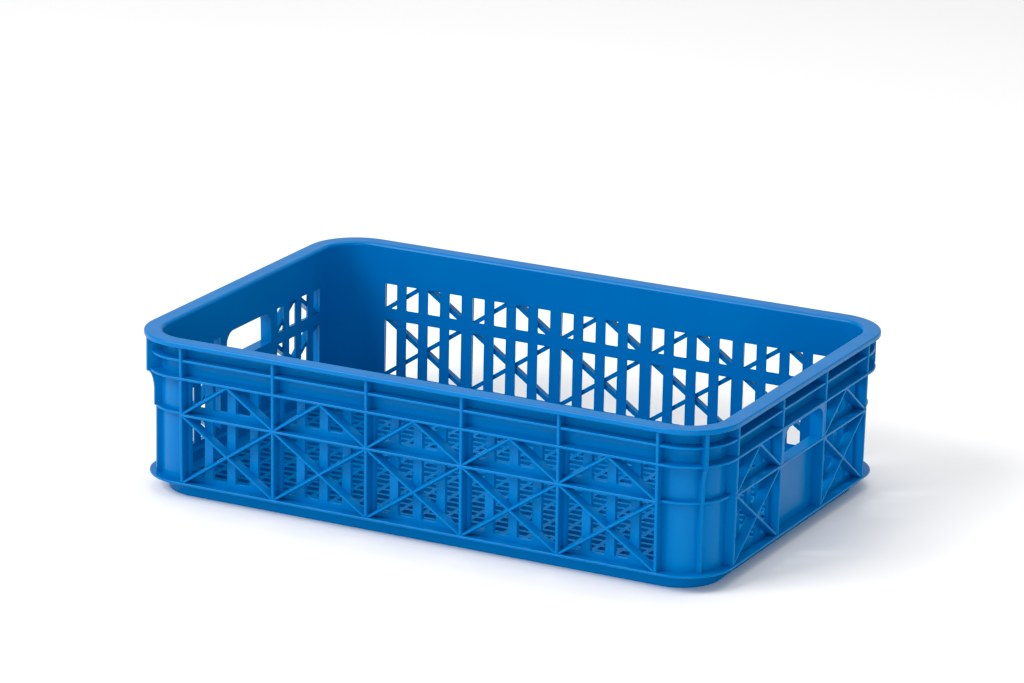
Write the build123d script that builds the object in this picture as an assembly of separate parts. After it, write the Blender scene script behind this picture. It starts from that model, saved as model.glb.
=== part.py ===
from build123d import *
import os
from math import atan2, degrees, hypot

# Stackable ventilated crate, one moulding, modelled as its moulded features.
# Millimetres. Origin at the centre of the foot underside, +X along the length, +Z up.

# ---------------------------------------------------------------- driving dimensions
length = 600.0  # over the rim
width = 400.0
height = 153.0
corner_radius = 52.0  # outer corner of the rim

# rim
rim_land = 14.0  # flat top land
rim_roll = 3.5  # rounding from the land down to the inner wall
rim_flange = 3.0  # thickness of the land
lip_depth = 5.0  # outer edge, top to bottom
lip_thickness = 4.0
lip_top_round = 1.6
lip_bottom_round = 1.0

# wall skin
skin_thickness = 2.5
rib_depth = 11.0  # rib nose to skin at the top of the wall

# uprights: bays on each side, and the outermost upright's distance from the corner's centre
long_bays = 5
short_bays = 3
long_post_setback = 6.6
short_post_setback = 5.95
rib_thickness = 3.2  # at the nose
rib_root_thickness = 4.4  # at the skin
rib_nose = 1.2
rib_draft = 0.9  # degrees; the noses lean in towards the foot

# ledges: middle of each below the rim, and how far it stands in from the rim edge
ledge_thickness = 2.7
ledge_nose = 0.9
upper_ledge_drop = 18.6
band_ledge_drop = 35.5
upper_ledge_inset = 5.2
band_ledge_inset = 3.7
middle_ledge_inset = 4.6
post_ledge_reach = 5.6  # middle ledge on the corner posts, proud of the skin

# middle rib of each corner post
post_rib_thickness = 3.6
post_rib_inset = 1.0  # nose behind the rim edge, above the band ledge
post_rib_reach = 6.8  # proud of the skin below the band ledge
post_rib_low_reach = 4.8  # proud of the skin below the middle ledge
post_rib_curve = 20.0  # height of the curve below the band ledge

# diagonal braces
brace_thickness = 2.4  # at the nose
brace_root_thickness = 4.6  # at the skin
brace_nose = 0.9
brace_setback = 0.4  # brace nose behind the upright nose

# windows
window_columns = 4
window_bar = 10.6  # skin left between two windows
window_edge_bar = 5.95  # skin left between a window and the nearest upright's middle
window_flare = 0.9  # each edge opens this much more at the outer face
window_round = 0.5
window_foot_gap = 4.7  # lower row, above the flange
window_under_gap = 5.0  # lower row, below the middle of the middle ledge
window_over_gap = 7.0  # upper row, above the middle of the middle ledge
window_head_gap = 2.2  # upper row, below the band ledge

# hand holes
hand_hole_rise = 30.6  # from the middle ledge up to the head
hand_hole_drop = 1.75  # head below the band ledge
hand_hole_jamb = 4.05  # solid left beside each upright
hand_hole_round = 12.0
hand_hole_edge = 1.0
hand_hole_setback = 0.3  # frame face behind the upright nose

# stacking foot
rim_opening_clearance = 2.5  # foot skirt inside the rim of the crate below, each side
foot_corner_ease = 7.5  # foot corners rounder than the opening, on top of the clearance
foot_height = 14.8
foot_wall = 3.0
foot_edge = 1.5
flange_thickness = 2.5
flange_inset = 5.0  # from the rim edge
flange_nose = 0.9

# floor
floor_top = 7.0
floor_thickness = 4.0
floor_border = 13.0
floor_bar = 5.0
floor_slot_columns = 24
floor_slot_rows = 26
floor_rib_thickness = 2.4
slots_between_ribs = 2  # floor slots from one underside rib to the next, both ways
floor_rib_clearance = 0.6  # rib underside above the foot underside

# ---------------------------------------------------------------- derived sizes
skin_inset = lip_thickness + rib_depth
inner_inset = skin_inset + skin_thickness
flange_top = foot_height + flange_thickness
lip_bottom = height - lip_depth
land_bottom = height - rim_flange
foot_inset = inner_inset + rim_opening_clearance
foot_length = length - 2 * foot_inset
foot_width = width - 2 * foot_inset
foot_radius = corner_radius - foot_inset + foot_corner_ease
floor_length = foot_length - 2 * foot_wall
floor_width = foot_width - 2 * foot_wall
floor_radius = foot_radius - foot_wall
slot_pitch_x = (floor_length - 2 * floor_border + floor_bar) / floor_slot_columns
slot_pitch_y = (floor_width - 2 * floor_border + floor_bar) / floor_slot_rows

long_span = length - 2 * (corner_radius + long_post_setback)
short_span = width - 2 * (corner_radius + short_post_setback)
long_ribs = [long_span * (i / long_bays - 1 / 2) for i in range(long_bays + 1)]
short_ribs = [short_span * (i / short_bays - 1 / 2) for i in range(short_bays + 1)]

upper_ledge_z = height - upper_ledge_drop
band_ledge_z = height - band_ledge_drop
band_ledge_bottom = band_ledge_z - ledge_thickness / 2
hand_hole_top = band_ledge_bottom - hand_hole_drop
middle_ledge_top = hand_hole_top - hand_hole_rise
middle_ledge_z = middle_ledge_top - ledge_thickness / 2
middle_ledge_bottom = middle_ledge_z - ledge_thickness / 2
hand_hole_width = short_span / short_bays - rib_thickness - 2 * hand_hole_jamb
overshoot = 40.0  # length of cutters past what they cut

# turn from the side facing -Y, distance of the rim edge from the middle, uprights
SIDES = {
    "front": (0, width / 2, long_ribs),
    "rear": (180, width / 2, long_ribs),
    "left": (-90, length / 2, short_ribs),
    "right": (90, length / 2, short_ribs),
}
# direction of each corner, and turn from +X to its diagonal
CORNERS = {
    "front_left": (-1, -1, 225),
    "front_right": (1, -1, 315),
    "rear_left": (-1, 1, 135),
    "rear_right": (1, 1, 45),
}
nodes = {}


# ---------------------------------------------------------------- helpers
def block(x0, x1, y0, y1, z0, z1):
    """Box between two corners."""
    centre = ((x0 + x1) / 2, (y0 + y1) / 2, (z0 + z1) / 2)
    return Pos(*centre) * Box(x1 - x0, y1 - y0, z1 - z0)


def plate(size_x, size_y, radius, z0, z1):
    """Rounded rectangle standing from z0 to z1."""
    return Pos(0, 0, z0) * extrude(RectangleRounded(size_x, size_y, radius), z1 - z0)


def slab(inset, z0, z1):
    """Plate that follows the rim outline, set in from it by inset."""
    return plate(length - 2 * inset, width - 2 * inset, corner_radius - inset, z0, z1)


def outline_edges(part, inset, z):
    """Edges at height z of the outline that is set in from the rim outline by inset."""
    reach_x, reach_y = length / 2 - inset, width / 2 - inset
    outline = []
    for edge in part.edges().filter_by_position(Axis.Z, z - 0.01, z + 0.01):
        box = edge.bounding_box()
        out_x = max(abs(box.min.X), abs(box.max.X))
        out_y = max(abs(box.min.Y), abs(box.max.Y))
        if abs(out_x - reach_x) < 0.05 or abs(out_y - reach_y) < 0.05:
            outline.append(edge)
    return outline


def straight_region(side):
    """Space of one straight side, between the outermost uprights."""
    turn, reach, ribs = SIDES[side]
    half = ribs[-1]
    return Rot(0, 0, turn) * block(-half, half, -reach - overshoot, -reach / 2, -1, height + 1)


def corner_region(corner):
    """Space of one corner, beyond the outermost uprights of both its sides."""
    sx, sy, _ = CORNERS[corner]
    x = sorted((sx * long_ribs[-1], sx * (length / 2 + overshoot)))
    y = sorted((sy * short_ribs[-1], sy * (width / 2 + overshoot)))
    return block(*x, *y, -1, height + 1)


def split_ring(ring, name):
    """Cut a closed ring into four straight lengths and four corners."""
    for side in SIDES:
        nodes[f"{name}_{side}"] = ring & straight_region(side)
    for corner in CORNERS:
        nodes[f"{name}_corner_{corner}"] = ring & corner_region(corner)


def nosed_bar(bar_length, thickness, root_thickness, nose):
    """Bar along X, its rounded nose on the plane y = 0, thickening to its root at rib_depth."""
    depth = rib_depth + rim_land
    root = thickness + (root_thickness - thickness) * depth / rib_depth
    outline = Polygon((0, -thickness / 2), (depth, -root / 2), (depth, root / 2), (0, thickness / 2),
                      align=None)
    bar = extrude(Plane.YZ * outline, bar_length / 2, both=True)
    return fillet(bar.edges().filter_by(Axis.X).group_by(Axis.Y)[0], nose)


def lean(reach):
    """Place on the leaning plane of the rib noses of a side whose rim edge is at -reach."""
    return Pos(0, -reach + lip_thickness, lip_bottom) * Rot(rib_draft, 0, 0)


wall_zone = slab(0, flange_top, land_bottom) - slab(skin_inset, flange_top, land_bottom)


# ---------------------------------------------------------------- rim
def make_rim():
    ring = slab(0, lip_bottom, height) - slab(inner_inset, lip_bottom, height)
    ring = fillet(outline_edges(ring, 0, height), lip_top_round)
    ring = fillet(outline_edges(ring, 0, lip_bottom), lip_bottom_round)
    ring = fillet(outline_edges(ring, inner_inset, height), rim_roll)
    pocket = slab(lip_thickness, lip_bottom, land_bottom) - slab(skin_inset, lip_bottom, land_bottom)
    return ring - pocket


# ---------------------------------------------------------------- uprights and corner ribs
def side_uprights(side, places):
    """Uprights of one side, clipped to the space between the skin and the rim."""
    turn, reach, _ = SIDES[side]
    zone = Rot(0, 0, -turn) * wall_zone
    bar = nosed_bar(2 * height, rib_thickness, rib_root_thickness, rib_nose)
    standing = lean(reach) * Rot(0, 90, 0) * bar
    return [Rot(0, 0, turn) * ((Pos(u, 0, 0) * standing) & zone) - rim for u in places]


def post_rib():
    """Middle rib of a corner post, in the plane y = 0, measured out from the corner's centre."""
    skin = corner_radius - skin_inset
    root = skin - skin_thickness
    top = corner_radius - post_rib_inset
    mid, low = skin + post_rib_reach, skin + post_rib_low_reach
    curve_foot = band_ledge_bottom - post_rib_curve
    outline = [
        Line((root, middle_ledge_z), (mid, middle_ledge_z)),
        Line((mid, middle_ledge_z), (mid, curve_foot)),
        EllipticalCenterArc((top, curve_foot), top - mid, post_rib_curve, 90, arc_size=90),
        Line((top, band_ledge_bottom), (top, land_bottom)),
        Line((top, land_bottom), (root, land_bottom)),
        Line((root, land_bottom), (root, middle_ledge_z)),
    ]
    face = Plane.XZ * make_face(outline)
    rib = extrude(face, post_rib_thickness / 2, both=True)
    half = post_rib_thickness / 2
    return rib + block(root, low, -half, half, flange_top, middle_ledge_z)


def corner_ribs(corner):
    """Post rib, the outermost uprights of both sides, and the ledges round the corner."""
    sx, sy, turn = CORNERS[corner]
    centre = (sx * (length / 2 - corner_radius), sy * (width / 2 - corner_radius), 0)
    part = (Pos(*centre) * Rot(0, 0, turn) * post_rib()) & wall_zone
    part = part - rim
    long_side, long_place = ("front", sx) if sy < 0 else ("rear", -sx)
    short_side, short_place = ("left", -sy) if sx < 0 else ("right", sy)
    part = part + side_uprights(long_side, [long_place * long_ribs[-1]])
    part = part + side_uprights(short_side, [short_place * short_ribs[-1]])
    for ring in (upper_ledge, band_ledge, post_ledge):
        part = part + (ring & corner_region(corner))
    return part


# ---------------------------------------------------------------- ledges
def ledge_ring(z, inset):
    """Horizontal rib all round, from the skin out to inset, with a rounded nose."""
    low, high = z - ledge_thickness / 2, z + ledge_thickness / 2
    ring = slab(inset, low, high)
    for level in (low, high):
        ring = fillet(outline_edges(ring, inset, level), ledge_nose)
    return ring - slab(skin_inset, low, high)


# ---------------------------------------------------------------- diagonal braces
def lattice_bays(side):
    """Bays with windows and braces: all on a long side, all but the middle one on a short side."""
    ribs = SIDES[side][2]
    bays = list(zip(ribs[:-1], ribs[1:]))
    if side in ("left", "right"):
        del bays[len(bays) // 2]
    return bays


def brace(reach, start, end):
    """One diagonal on a side facing -Y, from start to end, each (along the side, height)."""
    run, rise = end[0] - start[0], end[1] - start[1]
    bar = nosed_bar(hypot(run, rise) + overshoot, brace_thickness, brace_root_thickness, brace_nose)
    middle = ((start[0] + end[0]) / 2, brace_setback, (start[1] + end[1]) / 2 - lip_bottom)
    return lean(reach) * Pos(*middle) * Rot(0, -degrees(atan2(rise, run)), 0) * bar


def side_braces(side, uprights):
    """Two braces meeting under the band ledge over two that cross, in each lattice bay."""
    turn, reach, _ = SIDES[side]
    upper, lower = [], []
    for first, last in lattice_bays(side):
        left, right = first + rib_thickness / 2, last - rib_thickness / 2
        middle = (left + right) / 2
        low, high = middle_ledge_top, band_ledge_bottom
        roof = brace(reach, (left, low), (middle, high)) + brace(reach, (middle, high), (right, low))
        upper.append(roof & block(first, last, -reach, 0, low, high))
        low, high = flange_top, middle_ledge_bottom
        cross = brace(reach, (left, low), (right, high)) + brace(reach, (left, high), (right, low))
        lower.append(cross & block(first, last, -reach, 0, low, high))
    solids = []
    for shape in upper + lower:
        solids += ((Rot(0, 0, turn) * shape & wall_zone) - uprights).solids()
    return Compound(children=solids)


# ---------------------------------------------------------------- wall skins
def window(window_width, low, high):
    """Cutter for one window on a side facing -Y: narrow at the inner face, flared outwards."""
    angle = -degrees(atan2(window_flare, skin_thickness))
    outline = Plane.XZ * RectangleRounded(window_width, high - low, window_round)
    flared = extrude(outline, skin_thickness + 0.5, taper=angle)
    mouth = extrude(outline, -1.0)
    return Pos(0, 0, (low + high) / 2) * (flared + mouth)


def window_cutters(side):
    turn, reach, ribs = SIDES[side]
    row = ribs[1] - ribs[0] - 2 * window_edge_bar + window_bar
    pitch = row / window_columns
    lower = window(pitch - window_bar, flange_top + window_foot_gap, middle_ledge_z - window_under_gap)
    upper = window(pitch - window_bar, middle_ledge_z + window_over_gap,
                   band_ledge_bottom - window_head_gap)
    cutters = []
    for first, last in lattice_bays(side):
        for column in range(window_columns):
            u = (first + last) / 2 + pitch * (column - (window_columns - 1) / 2)
            place = Rot(0, 0, turn) * Pos(u, -reach + inner_inset, 0)
            cutters += [place * lower, place * upper]
    return cutters


def hand_hole():
    """Prism of the hand hole outline about y = 0, standing on the middle ledge."""
    prism = Box(hand_hole_width, 2 * overshoot, hand_hole_rise)
    prism = fillet(prism.edges().filter_by(Axis.Y).group_by(Axis.Z)[-1], hand_hole_round)
    return Pos(0, 0, middle_ledge_top + hand_hole_rise / 2) * prism


def wall_skin(side):
    turn, reach, _ = SIDES[side]
    part = (skin_ring & straight_region(side)) - window_cutters(side)
    if side in ("left", "right"):
        part = part - Rot(0, 0, turn) * Pos(0, -reach, 0) * hand_hole()
    return part


def hand_hole_frame(side, uprights):
    """Jambs and head between the two middle uprights, from the skin out to the leaning face."""
    turn, reach, ribs = SIDES[side]
    half = ribs[-2]
    face = block(-half, half, hand_hole_setback, rib_depth + rim_land, -height, 0)
    frame = (lean(reach) * face) & block(-half, half, -reach, -reach + skin_inset,
                                         middle_ledge_top, band_ledge_bottom)
    frame = frame - Pos(0, -reach, 0) * hand_hole()
    mouth = []
    for edge in frame.faces().sort_by(Axis.Y)[0].edges():
        middle = edge.center()
        if abs(middle.X) < half - 0.1 and middle_ledge_top + 0.1 < middle.Z < band_ledge_bottom - 0.1:
            mouth.append(edge)
    return Rot(0, 0, turn) * fillet(mouth, hand_hole_edge) - uprights


# ---------------------------------------------------------------- stacking foot
def make_foot():
    skirt = plate(foot_length, foot_width, foot_radius, 0, foot_height)
    skirt = fillet(skirt.edges().filter_by_position(Axis.Z, -0.01, 0.01), foot_edge)
    flange = slab(flange_inset, foot_height, flange_top)
    for z in (foot_height, flange_top):
        flange = fillet(flange.edges().filter_by_position(Axis.Z, z - 0.01, z + 0.01), flange_nose)
    return skirt + flange - plate(floor_length, floor_width, floor_radius, 0, flange_top)


# ---------------------------------------------------------------- floor
def clear_of_corner(place):
    """True where a floor slot stays inside the border at the rounded corners."""
    radius = floor_radius - floor_border
    far_x = abs(place.position.X) + slot_pitch_x / 2 - (floor_length / 2 - floor_radius)
    far_y = abs(place.position.Y) + slot_pitch_y / 2 - (floor_width / 2 - floor_radius)
    return far_x <= 0 or far_y <= 0 or hypot(far_x, far_y) <= radius + floor_bar


def make_floor_grid():
    slot = Rectangle(slot_pitch_x - floor_bar, slot_pitch_y - floor_bar)
    places = GridLocations(slot_pitch_x, slot_pitch_y, floor_slot_columns, floor_slot_rows)
    slots = [place * slot for place in places if clear_of_corner(place)]
    face = RectangleRounded(floor_length, floor_width, floor_radius) - slots
    return Pos(0, 0, floor_top - floor_thickness) * extrude(face, floor_thickness)


def make_floor_ribs():
    """Lattice of ribs under every other bar of the grid, inside a ring under its border."""
    bottom, top = floor_rib_clearance, floor_top - floor_thickness
    pitch_x, pitch_y = slot_pitch_x * slots_between_ribs, slot_pitch_y * slots_between_ribs
    columns, rows = floor_slot_columns // slots_between_ribs, floor_slot_rows // slots_between_ribs
    cell = Rectangle(pitch_x - floor_rib_thickness, pitch_y - floor_rib_thickness)
    inner = RectangleRounded(floor_length - floor_border, floor_width - floor_border,
                             floor_radius - floor_border / 2)
    cells = [(place * cell) & inner for place in GridLocations(pitch_x, pitch_y, columns, rows)]
    face = RectangleRounded(floor_length, floor_width, floor_radius) - cells
    return Pos(0, 0, bottom) * extrude(face, top - bottom)


# ---------------------------------------------------------------- build
rim = make_rim()
split_ring(rim, "rim")

upper_ledge = ledge_ring(upper_ledge_z, upper_ledge_inset)
band_ledge = ledge_ring(band_ledge_z, band_ledge_inset)
middle_ledge = ledge_ring(middle_ledge_z, middle_ledge_inset)
post_ledge = ledge_ring(middle_ledge_z, skin_inset - post_ledge_reach)

skin_ring = slab(skin_inset, flange_top, lip_bottom) - slab(inner_inset, flange_top, lip_bottom)
for corner in CORNERS:
    nodes[f"corner_post_{corner}"] = skin_ring & corner_region(corner)
    nodes[f"corner_ribs_{corner}"] = corner_ribs(corner)

for side in SIDES:
    uprights = side_uprights(side, SIDES[side][2])
    for number, upright in enumerate(uprights[1:-1], 1):
        nodes[f"rib_{side}_{number}"] = upright
    lengths = []
    for ring in (upper_ledge, band_ledge, middle_ledge):
        lengths += ((ring & straight_region(side)) - uprights).solids()
    nodes[f"ledges_{side}"] = Compound(children=lengths)
    nodes[f"braces_{side}"] = side_braces(side, uprights)
    nodes[f"wall_{side}"] = wall_skin(side)

    if side in ("left", "right"):
        nodes[f"hand_hole_frame_{side}"] = hand_hole_frame(side, uprights)

split_ring(make_foot(), "foot")
nodes["floor_grid"] = make_floor_grid()
nodes["floor_ribs"] = make_floor_ribs()

os.makedirs("parts", exist_ok=True)
for name, shape in nodes.items():
    export_step(shape, f"parts/{name}.step")
    print(f"{name}: {len(shape.solids())} solids, {shape.volume:.0f} mm3")
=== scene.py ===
import math

import bpy
from mathutils import Matrix, Vector


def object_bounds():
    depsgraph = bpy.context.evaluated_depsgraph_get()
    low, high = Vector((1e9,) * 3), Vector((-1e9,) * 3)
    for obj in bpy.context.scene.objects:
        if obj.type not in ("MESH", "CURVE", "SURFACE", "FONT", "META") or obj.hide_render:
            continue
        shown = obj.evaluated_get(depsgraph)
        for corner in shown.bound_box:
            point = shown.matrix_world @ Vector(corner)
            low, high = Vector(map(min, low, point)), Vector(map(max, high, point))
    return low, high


# Looks of the moulded crate: its plastic, a plain pale floor, soft studio light and the camera.
# Metres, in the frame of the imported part: +X along the length, +Z up, the floor at z = 0.

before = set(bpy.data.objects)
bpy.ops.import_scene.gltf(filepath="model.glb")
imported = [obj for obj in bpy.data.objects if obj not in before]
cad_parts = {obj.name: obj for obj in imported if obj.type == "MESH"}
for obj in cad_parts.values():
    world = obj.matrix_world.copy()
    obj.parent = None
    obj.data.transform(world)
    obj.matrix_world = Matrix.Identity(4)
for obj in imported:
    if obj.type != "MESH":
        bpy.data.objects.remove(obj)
bpy.context.view_layer.update()
cad_low, cad_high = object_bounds()

# ---------------------------------------------------------------- values
CAMERA_PLACE = (1.9506, -3.8267, 1.4569)
CAMERA_YAW = -27.032  # degrees from +Y, negative towards -X
CAMERA_PITCH = 17.050  # degrees below the horizon
CAMERA_ROLL = 1.115
CAMERA_LENS = 170.95  # mm on the sensor below
SENSOR = 36.0

# soft boxes: place, width, height, power in watts
KEY_LIGHT = ((-1.9, -2.4, 2.6), 2.2, 1.8, 120.0)
FRONT_LIGHT = ((1.6, -3.2, 0.9), 2.6, 1.6, 34.0)
TOP_LIGHT = ((0.2, 0.6, 3.2), 3.0, 2.4, 40.0)
WORLD_COLOUR = (1.0, 1.0, 1.0, 1.0)
WORLD_LEVEL = 0.65
RED_BLACK = 0.022  # red at or below this shows as none

BLUE_DEEP = (0.0, 0.120, 0.385, 1.0)
BLUE_PALE = (0.0, 0.136, 0.420, 1.0)
BLUE_FLOW = (0.0, 0.150, 0.450, 1.0)
BLUE_CHALK = (0.10, 0.30, 0.62, 1.0)
CLOUD_SCALE = 7.0  # noise features per metre, for this and the scales below
FLOW_STRETCH = (30.0, 30.0, 5.0)  # flow marks run up the walls
FLOW_SHARE = 0.18
SCRATCH_STRETCH = (60.0, 420.0, 60.0)
SCRATCH_SHARE = 0.30
SCRATCH_DULLING = 0.15  # added to the roughness
WEAR_DEPTH_START = 0.0025  # below the rim's top, where wear on the land begins
WEAR_DEPTH_FULL = 0.0005
PATCH_SCALE = 26.0
ROUGH_SMOOTH = 0.30
ROUGH_DULL = 0.40
GRAIN_SCALE = 1400.0
GRAIN_HEIGHT = 0.000010  # metres
WAVE_SCALE = 38.0
WAVE_HEIGHT = 0.00010
PLASTIC_IOR = 1.5
PLASTIC_SPECULAR = 0.26

FLOOR_REACH = 20.0
FLOOR_DARK = (0.87, 0.87, 0.872, 1.0)
FLOOR_PALE = (0.90, 0.90, 0.90, 1.0)
FLOOR_CLOUD_SCALE = 1.5
FLOOR_ROUGHNESS = 0.6


# ---------------------------------------------------------------- node helpers
class Tree:
    """Short calls to build a node tree."""

    def __init__(self, tree):
        self.tree = tree

    def add(self, kind, inputs=None, **settings):
        node = self.tree.nodes.new(kind)
        for key, value in settings.items():
            setattr(node, key, value)
        for key, value in (inputs or {}).items():
            if isinstance(value, bpy.types.NodeSocket):
                self.tree.links.new(value, node.inputs[key])
            else:
                node.inputs[key].default_value = value
        return node

    def math(self, operation, a, b):
        return self.add("ShaderNodeMath", {0: a, 1: b}, operation=operation).outputs[0]

    def noise(self, place, scale, detail=2.0, roughness=0.5):
        inputs = {"Vector": place, "Scale": scale, "Detail": detail, "Roughness": roughness}
        return self.add("ShaderNodeTexNoise", inputs).outputs[0]

    def stretch(self, place, scale):
        return self.add("ShaderNodeMapping", {"Vector": place, "Scale": scale}).outputs[0]

    def between(self, value, low, high, out_low=0.0, out_high=1.0, smooth=False):
        inputs = {0: value, 1: low, 2: high, 3: out_low, 4: out_high}
        kind = "SMOOTHSTEP" if smooth else "LINEAR"
        return self.add("ShaderNodeMapRange", inputs, interpolation_type=kind).outputs[0]

    def mix(self, share, a, b):
        inputs = {"Factor": share, 6: a, 7: b}
        return self.add("ShaderNodeMix", inputs, data_type="RGBA").outputs[2]


def new_material(name):
    material = bpy.data.materials.new(name)
    material.use_nodes = True
    material.node_tree.nodes.clear()
    return material, Tree(material.node_tree)


def plastic(name):
    """Blue moulded polyethylene: soft sheen, slightly uneven colour, faint scratches on the rim."""
    material, t = new_material(name)
    place = t.add("ShaderNodeTexCoord").outputs["Object"]
    geometry = t.add("ShaderNodeNewGeometry").outputs
    up = t.add("ShaderNodeSeparateXYZ", {0: geometry["Normal"]}).outputs[2]
    height = t.add("ShaderNodeSeparateXYZ", {0: place}).outputs[2]

    cloud = t.between(t.noise(place, CLOUD_SCALE, 3.0), 0.3, 0.7)
    flow = t.between(t.noise(t.stretch(place, FLOW_STRETCH), 1.0, 3.0, 0.6), 0.35, 0.65)
    base = t.mix(cloud, BLUE_DEEP, BLUE_PALE)
    base = t.mix(t.math("MULTIPLY", flow, FLOW_SHARE), base, BLUE_FLOW)

    rim = t.math("MULTIPLY", t.between(up, 0.75, 0.98, smooth=True),
                 t.between(height, cad_high.z - WEAR_DEPTH_START, cad_high.z - WEAR_DEPTH_FULL,
                           smooth=True))
    scratch = t.noise(t.stretch(place, SCRATCH_STRETCH), 1.0, 4.0, 0.7)
    scratch = t.math("MULTIPLY", t.between(scratch, 0.60, 0.74, smooth=True), rim)
    base = t.mix(t.math("MULTIPLY", scratch, SCRATCH_SHARE), base, BLUE_CHALK)

    rough = t.between(t.noise(place, PATCH_SCALE, 4.0), 0.3, 0.7, ROUGH_SMOOTH, ROUGH_DULL)
    rough = t.math("ADD", rough, t.math("MULTIPLY", scratch, SCRATCH_DULLING))
    fine = t.math("MULTIPLY", t.noise(place, GRAIN_SCALE, 2.0), GRAIN_HEIGHT)
    wavy = t.math("MULTIPLY", t.noise(place, WAVE_SCALE, 1.0), WAVE_HEIGHT)
    bump = t.add("ShaderNodeBump", {
        "Height": t.math("ADD", fine, wavy), "Distance": 1.0, "Strength": 1.0}).outputs[0]
    shader = t.add("ShaderNodeBsdfPrincipled", {
        "Base Color": base, "Roughness": rough, "Normal": bump,
        "IOR": PLASTIC_IOR, "Specular IOR Level": PLASTIC_SPECULAR})
    t.add("ShaderNodeOutputMaterial", {"Surface": shader.outputs[0]})
    return material


# ---------------------------------------------------------------- crate
crate = plastic("crate_plastic_looks")
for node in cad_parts.values():
    node.material_slots[0].link = "OBJECT"
    node.material_slots[0].material = crate


# ---------------------------------------------------------------- floor
def make_floor():
    mesh = bpy.data.meshes.new("floor")
    corners = [(x * FLOOR_REACH, y * FLOOR_REACH, 0) for x, y in ((-1, -1), (1, -1), (1, 1), (-1, 1))]
    mesh.from_pydata(corners, [], [(0, 1, 2, 3)])
    floor = bpy.data.objects.new("floor", mesh)
    bpy.context.scene.collection.objects.link(floor)
    material, t = new_material("floor")
    place = t.add("ShaderNodeTexCoord").outputs["Object"]
    shade = t.mix(t.noise(place, FLOOR_CLOUD_SCALE, 2.0), FLOOR_DARK, FLOOR_PALE)
    shader = t.add("ShaderNodeBsdfPrincipled", {"Base Color": shade, "Roughness": FLOOR_ROUGHNESS})
    t.add("ShaderNodeOutputMaterial", {"Surface": shader.outputs[0]})
    mesh.materials.append(material)


make_floor()


# ---------------------------------------------------------------- light
def soft_box(name, place, width, height, power):
    """White area light aimed at the middle of the crate."""
    data = bpy.data.lights.new(name, "AREA")
    data.shape, data.size, data.size_y, data.energy = "RECTANGLE", width, height, power
    lamp = bpy.data.objects.new(name, data)
    bpy.context.scene.collection.objects.link(lamp)
    lamp.location = place
    lamp.rotation_mode = "QUATERNION"
    lamp.rotation_quaternion = (middle - Vector(place)).to_track_quat("-Z", "Y")


middle = (cad_low + cad_high) / 2
soft_box("key", *KEY_LIGHT)
soft_box("front", *FRONT_LIGHT)
soft_box("top", *TOP_LIGHT)

world = bpy.data.worlds.new("studio")
bpy.context.scene.world = world
world.use_nodes = True
background = world.node_tree.nodes["Background"]
background.inputs[0].default_value = WORLD_COLOUR
background.inputs[1].default_value = WORLD_LEVEL


# ---------------------------------------------------------------- camera
def make_camera():
    yaw, pitch, roll = (math.radians(a) for a in (CAMERA_YAW, CAMERA_PITCH, CAMERA_ROLL))
    forward = Vector((math.sin(yaw) * math.cos(pitch), math.cos(yaw) * math.cos(pitch), -math.sin(pitch)))
    level = Vector((math.cos(yaw), -math.sin(yaw), 0.0))
    up = level.cross(forward)
    right = math.cos(roll) * level + math.sin(roll) * up
    up = math.cos(roll) * up - math.sin(roll) * level
    data = bpy.data.cameras.new("camera")
    data.sensor_width, data.lens = SENSOR, CAMERA_LENS
    data.clip_start, data.clip_end = 0.1, 100.0
    camera = bpy.data.objects.new("camera", data)
    bpy.context.scene.collection.objects.link(camera)
    turn = Matrix((right, up, -forward)).transposed()
    camera.matrix_world = Matrix.Translation(Vector(CAMERA_PLACE)) @ turn.to_4x4()
    bpy.context.scene.camera = camera


make_camera()
view = bpy.context.scene.view_settings
view.view_transform = "Standard"
view.use_curve_mapping = True
view.curve_mapping.black_level = (RED_BLACK, 0.0, 0.0)
view.curve_mapping.update()

# ---------------------------------------------------------------- finish
bpy.context.view_layer.update()
